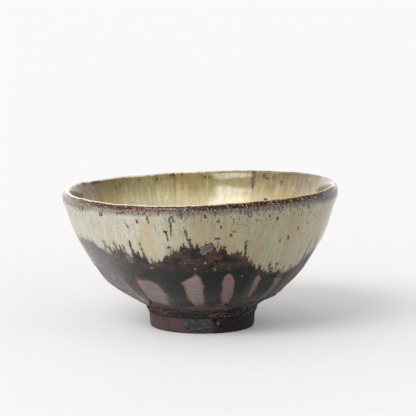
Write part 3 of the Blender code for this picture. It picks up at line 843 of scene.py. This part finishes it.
def clay_wall():
    """The clay wall and base, from the nub under the base, over the lip, to the tea well."""
    columns = 480
    angles = ring_angles(columns)[None, :]
    outer = np.linspace(0, CREST_AT - 0.002, 100)
    lip = np.linspace(CREST_AT - 0.0018, CREST_AT + 0.002, 14)
    inner = np.linspace(CREST_AT + 0.003, WELL_AT - TIP, 40)
    along = np.concatenate([outer, lip, inner])[:, None]
    upper = skin(angles, along, 0)
    boss = FOOT_RADIUS - FOOT_WIDTH - 0.0022
    under = np.array((
        (TIP, BASE_HEIGHT - 0.0015), (0.002, BASE_HEIGHT - 0.0013), (0.005, BASE_HEIGHT - 0.0003),
        (boss - 0.0022, BASE_HEIGHT), (boss - 0.001, BASE_HEIGHT + 0.0004), (boss, FOOT_HEIGHT),
        (FOOT_RADIUS, FOOT_HEIGHT),
    ))
    lower = hand_thrown(angles, under[:, :1], np.broadcast_to(under[:, 1:], (len(under), columns)))
    reach = np.concatenate([np.linspace(-0.03, -0.001, len(under)), along[:, 0]])[:, None]
    reach = np.broadcast_to(reach, (len(reach), columns))
    outside = np.clip(reach, 0, CREST_AT)
    angles = np.broadcast_to(angles, reach.shape)
    # low is 1 on the clay below the iron glaze's end, which its material darkens as painted shade.
    low = 1 - smooth(above_end(angles, outside), -1.5, 1.0)
    attributes = coordinates(angles, reach, edge=glaze_edge(angles, outside), low=low)
    rows = np.concatenate([lower, upper])
    return tube("bare_clay_wall", rows, attributes, bare_clay(), "bowl_wall", capped=True)


def iron_coat():
    """The iron glaze: two sheets that are left out where a window or the foot's clay is bare."""
    columns, rows = 640, 76
    angles = np.broadcast_to(ring_angles(columns), (rows, columns))
    start, end = along_at(0.013), fringe_along(angles) + 2 * MM
    along = start + (end - start) * np.linspace(0, 1, rows)[:, None]
    lift = iron_lift(angles, along)
    top = skin(angles, along, lift)
    bottom = skin(angles, along, -2.5 * EMBED)
    buried = lift <= -EMBED * 0.99
    corners = buried & np.roll(buried, -1, axis=1)
    keep = ~(corners[:-1] & corners[1:])
    stone, drop = nearest_stroke(angles, along, STONES), above_end(angles, along)
    attributes = coordinates(angles, along, edge=glaze_edge(angles, along), drop=drop, stone=stone)
    return pierced("iron_glaze_tongues", top, bottom, keep, attributes, iron_glaze(), "iron_glaze_coat")


def ash_coat():
    """The ash glaze outside, from its ragged edge, which is a change of colour, up to the burnt lip."""
    front, back = 74, 4
    start = fringe_along(ring_angles(ASH_COLUMNS)) - 3.5 * MM
    angles, along = closed_band(front, back, start, CREST_AT - LIP_BAND + 1.2 * MM)
    lift = ash_lift(angles, along)
    lift[front - 1] -= 2 * EMBED
    lift[0] -= EMBED
    lift[front:] = BACK_LIFT
    spot, stone = (nearest_stroke(angles, along, marks) for marks in (SPOTS, STONES))
    attributes = coordinates(angles, along, ash=ash_distance(angles, along), spot=spot, stone=stone)
    return tube("outer_ash_coat", skin(angles, along, lift), attributes, outer_glaze(), "outer_ash_glaze")


def lip_line():
    """The burnt line on the outer edge of the lip, in the same glaze as the coat below it."""
    front, back = 16, 4
    angles, along = closed_band(front, back, CREST_AT - LIP_BAND, CREST_AT + 0.5 * MM)
    lift = ash_lift(angles, along) + BACK_LIFT
    lift[0] -= EMBED
    lift[front - 1] -= EMBED
    lift[front:] = BACK_LIFT
    far = np.full(along.shape, FAR)
    attributes = coordinates(angles, along, ash=far, spot=nearest_stroke(angles, along, SPOTS), stone=far)
    glaze = bpy.data.materials["outer_glaze"]
    return tube("burnt_lip_line", skin(angles, along, lift), attributes, glaze, "lip_iron_line")


def inner_coat():
    """The ash glaze inside: its back, from the well up to the lip's crest, then its face, down again."""
    columns, back = 720, 8
    bottom = WELL_AT - TIP
    rim = np.linspace(CREST_AT, CREST_AT + 0.004, 12)
    wall = np.linspace(CREST_AT + 0.0045, bottom, 84)
    along = np.concatenate([np.linspace(bottom, CREST_AT, back), rim, wall])[:, None]
    along = np.broadcast_to(along, (len(along), columns))
    angles = np.broadcast_to(ring_angles(columns), along.shape)
    lift = np.full(along.shape, IRON_THICK + ASH_THICK)
    lift[:back] = BACK_LIFT
    lift[back] -= 2 * EMBED
    spot = nearest_stroke(angles, along, INNER_SPOTS, lambda depth: CREST_AT + depth)
    attributes = coordinates(angles, along, spot=spot)
    points = skin(angles, along, lift)
    attributes["place"] = points.reshape(-1, 3) / MM
    return tube("inner_ash_coat", points, attributes, inner_glaze(), "inner_ash_glaze", capped=True)


def nearest_dot(angles, height, dots):
    """Millimetres from the nearest round mark on the foot: negative inside it."""
    nearest = np.full(angles.shape, 50.0)
    for azimuth, level, radius in dots:
        across = np.radians(turn(np.degrees(angles), azimuth)) * FOOT_RADIUS / MM
        nearest = np.minimum(nearest, np.hypot(across, height / MM - level) - radius)
    return nearest


def foot_attributes(angles, height):
    """The foot's marks. Its shade is 0 on the pale left side and 1 on the darker right side."""
    shade = smooth(np.sin(angles - 0.25), -0.35, 0.35)
    pit, rust = (nearest_dot(angles, height, dots) for dots in (FOOT_PITS, FOOT_RUST))
    return coordinates(angles, height, FOOT_RADIUS / MM, shade=shade, pit=pit, rust=rust)


def revolved_foot(name, outline, columns, rough, spec, node):
    """A closed ring turned from an outline, with its outer side left uneven by this much."""
    rows, steps = 70, lengths(outline)
    spread = np.linspace(0, steps[-1], rows)
    radius, height = (np.interp(spread, steps, values)[:, None] for values in zip(*outline))
    angles = np.broadcast_to(ring_angles(columns), (rows, columns))
    height = np.broadcast_to(height, angles.shape)
    uneven = noise(angles, height, 70, 0.0022, 31) * 0.6 + noise(angles, height, 200, 0.0009, 32) * 0.4
    outer = smooth(radius, FOOT_RADIUS - 0.0015, FOOT_RADIUS) * smooth(height, 0, 0.001)
    radius = radius + rough * uneven * outer
    return tube(name, foot_skin(angles, radius, height), foot_attributes(angles, height), spec, node)


def foot():
    """The turned foot and the rough collar of clay round the joint above it."""
    edge, top = FOOT_RADIUS, foot_high.z
    inner, rebate = edge - FOOT_WIDTH, edge - 0.0005
    outline = (
        (inner + 0.0006, 0.00006), (inner + 0.0009, 0.0), (edge - 0.0016, 0.0), (edge - 0.001, 0.0003),
        (edge - 0.0006, 0.0012), (edge - 0.0003, 0.0045), (edge, 0.0078), (rebate, 0.008), (rebate, top),
        (inner - 0.0018, top), (inner - 0.0004, 0.0012), (inner + 0.0006, 0.00006),
    )
    revolved_foot("turned_foot", outline, 360, 0.12 * MM, foot_clay("foot_clay", 0.0), "foot_ring")
    inside, low = rebate + 0.0001, collar_low.z
    collar = (
        (inside, low), (edge + 0.0003, low - 0.0003), (edge + 0.0008, 0.009), (edge + 0.001, 0.0105),
        (edge + 0.0018, 0.0118), (edge + 0.002, 0.0126), (inside, 0.0124), (inside, low),
    )
    revolved_foot("rough_collar", collar, 480, 0.8 * MM, foot_clay("collar_clay", 1.0), "foot_joint_collar")


def foot_patch(name, middle, half, low, high, radius_low, radius_high, seed, spec, node):
    """A patch of glaze on the foot, with an uneven outline. Its middle and half width are in degrees."""
    columns, rows = 900, 60
    angles = np.broadcast_to(ring_angles(columns), (rows, columns))
    height = np.broadcast_to(np.linspace(low, high, rows)[:, None], angles.shape)
    radius = radius_low + (radius_high - radius_low) * (height - low) / (high - low)
    off = np.abs(turn(np.degrees(angles), middle)) / half
    up = np.abs(2 * (height - low) / (high - low) - 1) * 1.15
    ragged = 0.14 * noise(angles, height, 60, 0.002, seed)
    ragged = ragged + 0.12 * noise(angles, height, 180, 0.0008, seed + 1)
    inside = 1 - (off**2.4 + up**2.4) ** (1 / 2.4) + ragged
    lift = 0.45 * MM * np.clip(inside * 3, -0.6, 1)
    top = foot_skin(angles, radius + lift, height)
    bottom = foot_skin(angles, radius - 0.4 * MM, height)
    gone = inside < -0.15
    keep = ~(gone & np.roll(gone, -1, axis=1))[:-1]
    return pierced(name, top, bottom, keep, foot_attributes(angles, height), spec, node)


def foot_patches():
    black = splash_glaze("black_green_splash", (0.008, 0.012, 0.011), (0.02, 0.027, 0.025), 0.46)
    grey = splash_glaze("grey_blue_splash", (0.015, 0.016, 0.018), (0.038, 0.046, 0.052), 0.44)
    on_collar = FOOT_RADIUS + 0.0006, FOOT_RADIUS + 0.0015
    on_foot = FOOT_RADIUS, FOOT_RADIUS
    foot_patch("black_green_patch", -13.5, 21.5, 0.0079, 0.013, *on_collar, 41, black, "foot_iron_splash")
    foot_patch("grey_blue_patch", -3.5, 14, 0.0012, 0.0078, *on_foot, 43, grey, "foot_ash_splash")


# ---- the studio

def studio_floor():
    sh = Shader("studio_floor")
    sh.finish((0.77, 0.762, 0.766), 0.7, sh.bump(0.5, 0.01), 1.15, 0.3)
    mesh = bpy.data.meshes.new("studio_floor")
    reach = 9.0
    corners = [(x * reach, y * reach, 0) for x, y in ((-1, -1), (1, -1), (1, 1), (-1, 1))]
    mesh.from_pydata(corners, [], [(0, 1, 2, 3)])
    mesh.materials.append(sh.material)
    floor = bpy.data.objects.new("studio_floor", mesh)
    bpy.context.scene.collection.objects.link(floor)


def studio_light():
    """A pale dome with one soft panel, all of it the world's light, so that the floor is even."""
    world = bpy.data.worlds.new("studio_dome")
    bpy.context.scene.world = world
    world.use_nodes = True
    sky = Nodes(world.node_tree)
    background = sky.tree.nodes["Background"]
    direction = sky.add("TexCoord").outputs["Generated"]

    def toward(axis):
        """1 in the axis's direction, 0 square to it."""
        return sky.wired("VectorMath", {0: direction, 1: axis}, "Value", operation="DOT_PRODUCT")

    def panel(azimuth, elevation, half_wide, half_tall, soft, strength):
        """A rectangular soft light in a direction, its half sizes in degrees."""
        a, e = math.radians(azimuth), math.radians(elevation)
        middle = Vector((math.sin(a) * math.cos(e), -math.cos(a) * math.cos(e), math.sin(e)))
        side = Vector((math.cos(a), math.sin(a), 0))
        up = middle.cross(side) * -1
        facing = sky.maths("MAXIMUM", toward(middle), 0.001)
        glow = sky.maths("GREATER_THAN", toward(middle), 0.01)
        for axis, half in ((side, half_wide), (up, half_tall)):
            reach = sky.maths("ABSOLUTE", sky.maths("DIVIDE", toward(axis), facing))
            edge = math.tan(math.radians(half))
            glow = sky.times(glow, sky.step(reach, edge * (1 + soft), edge * (1 - soft)))
        return sky.times(glow, strength)

    low = sky.step(toward((0, 0, 1)), 0.66, 0.12)
    dome = sky.maths("ADD", sky.times(low, 2.18), 0.57)
    lean = sky.maths("ADD", sky.times(toward((-0.72, -0.69, 0)), 0.48), 1.0)
    key = panel(azimuth=-36, elevation=41, half_wide=15.5, half_tall=10.5, soft=0.12, strength=7.4)
    sky.put(background.inputs["Strength"], sky.maths("ADD", sky.times(dome, lean), key))
    background.inputs["Color"].default_value = (1, 0.995, 0.99, 1)


def camera():
    elevation = math.radians(7.8)
    distance, width = 1.2, 0.2107
    aim = Vector((0.0039, 0, 0.0599))
    data = bpy.data.cameras.new("photo_camera")
    data.sensor_fit = "HORIZONTAL"
    data.lens = data.sensor_width * distance / width
    data.clip_end = 100
    obj = bpy.data.objects.new("photo_camera", data)
    obj.location = aim + distance * Vector((0, -math.cos(elevation), math.sin(elevation)))
    obj.rotation_euler = (math.pi / 2 - elevation, 0, 0)
    bpy.context.scene.collection.objects.link(obj)
    bpy.context.scene.camera = obj


def main():
    bpy.context.scene.view_settings.view_transform = "Standard"
    clay_wall()
    iron_coat()
    ash_coat()
    lip_line()
    inner_coat()
    foot()
    foot_patches()
    studio_floor()
    studio_light()
    camera()


main()
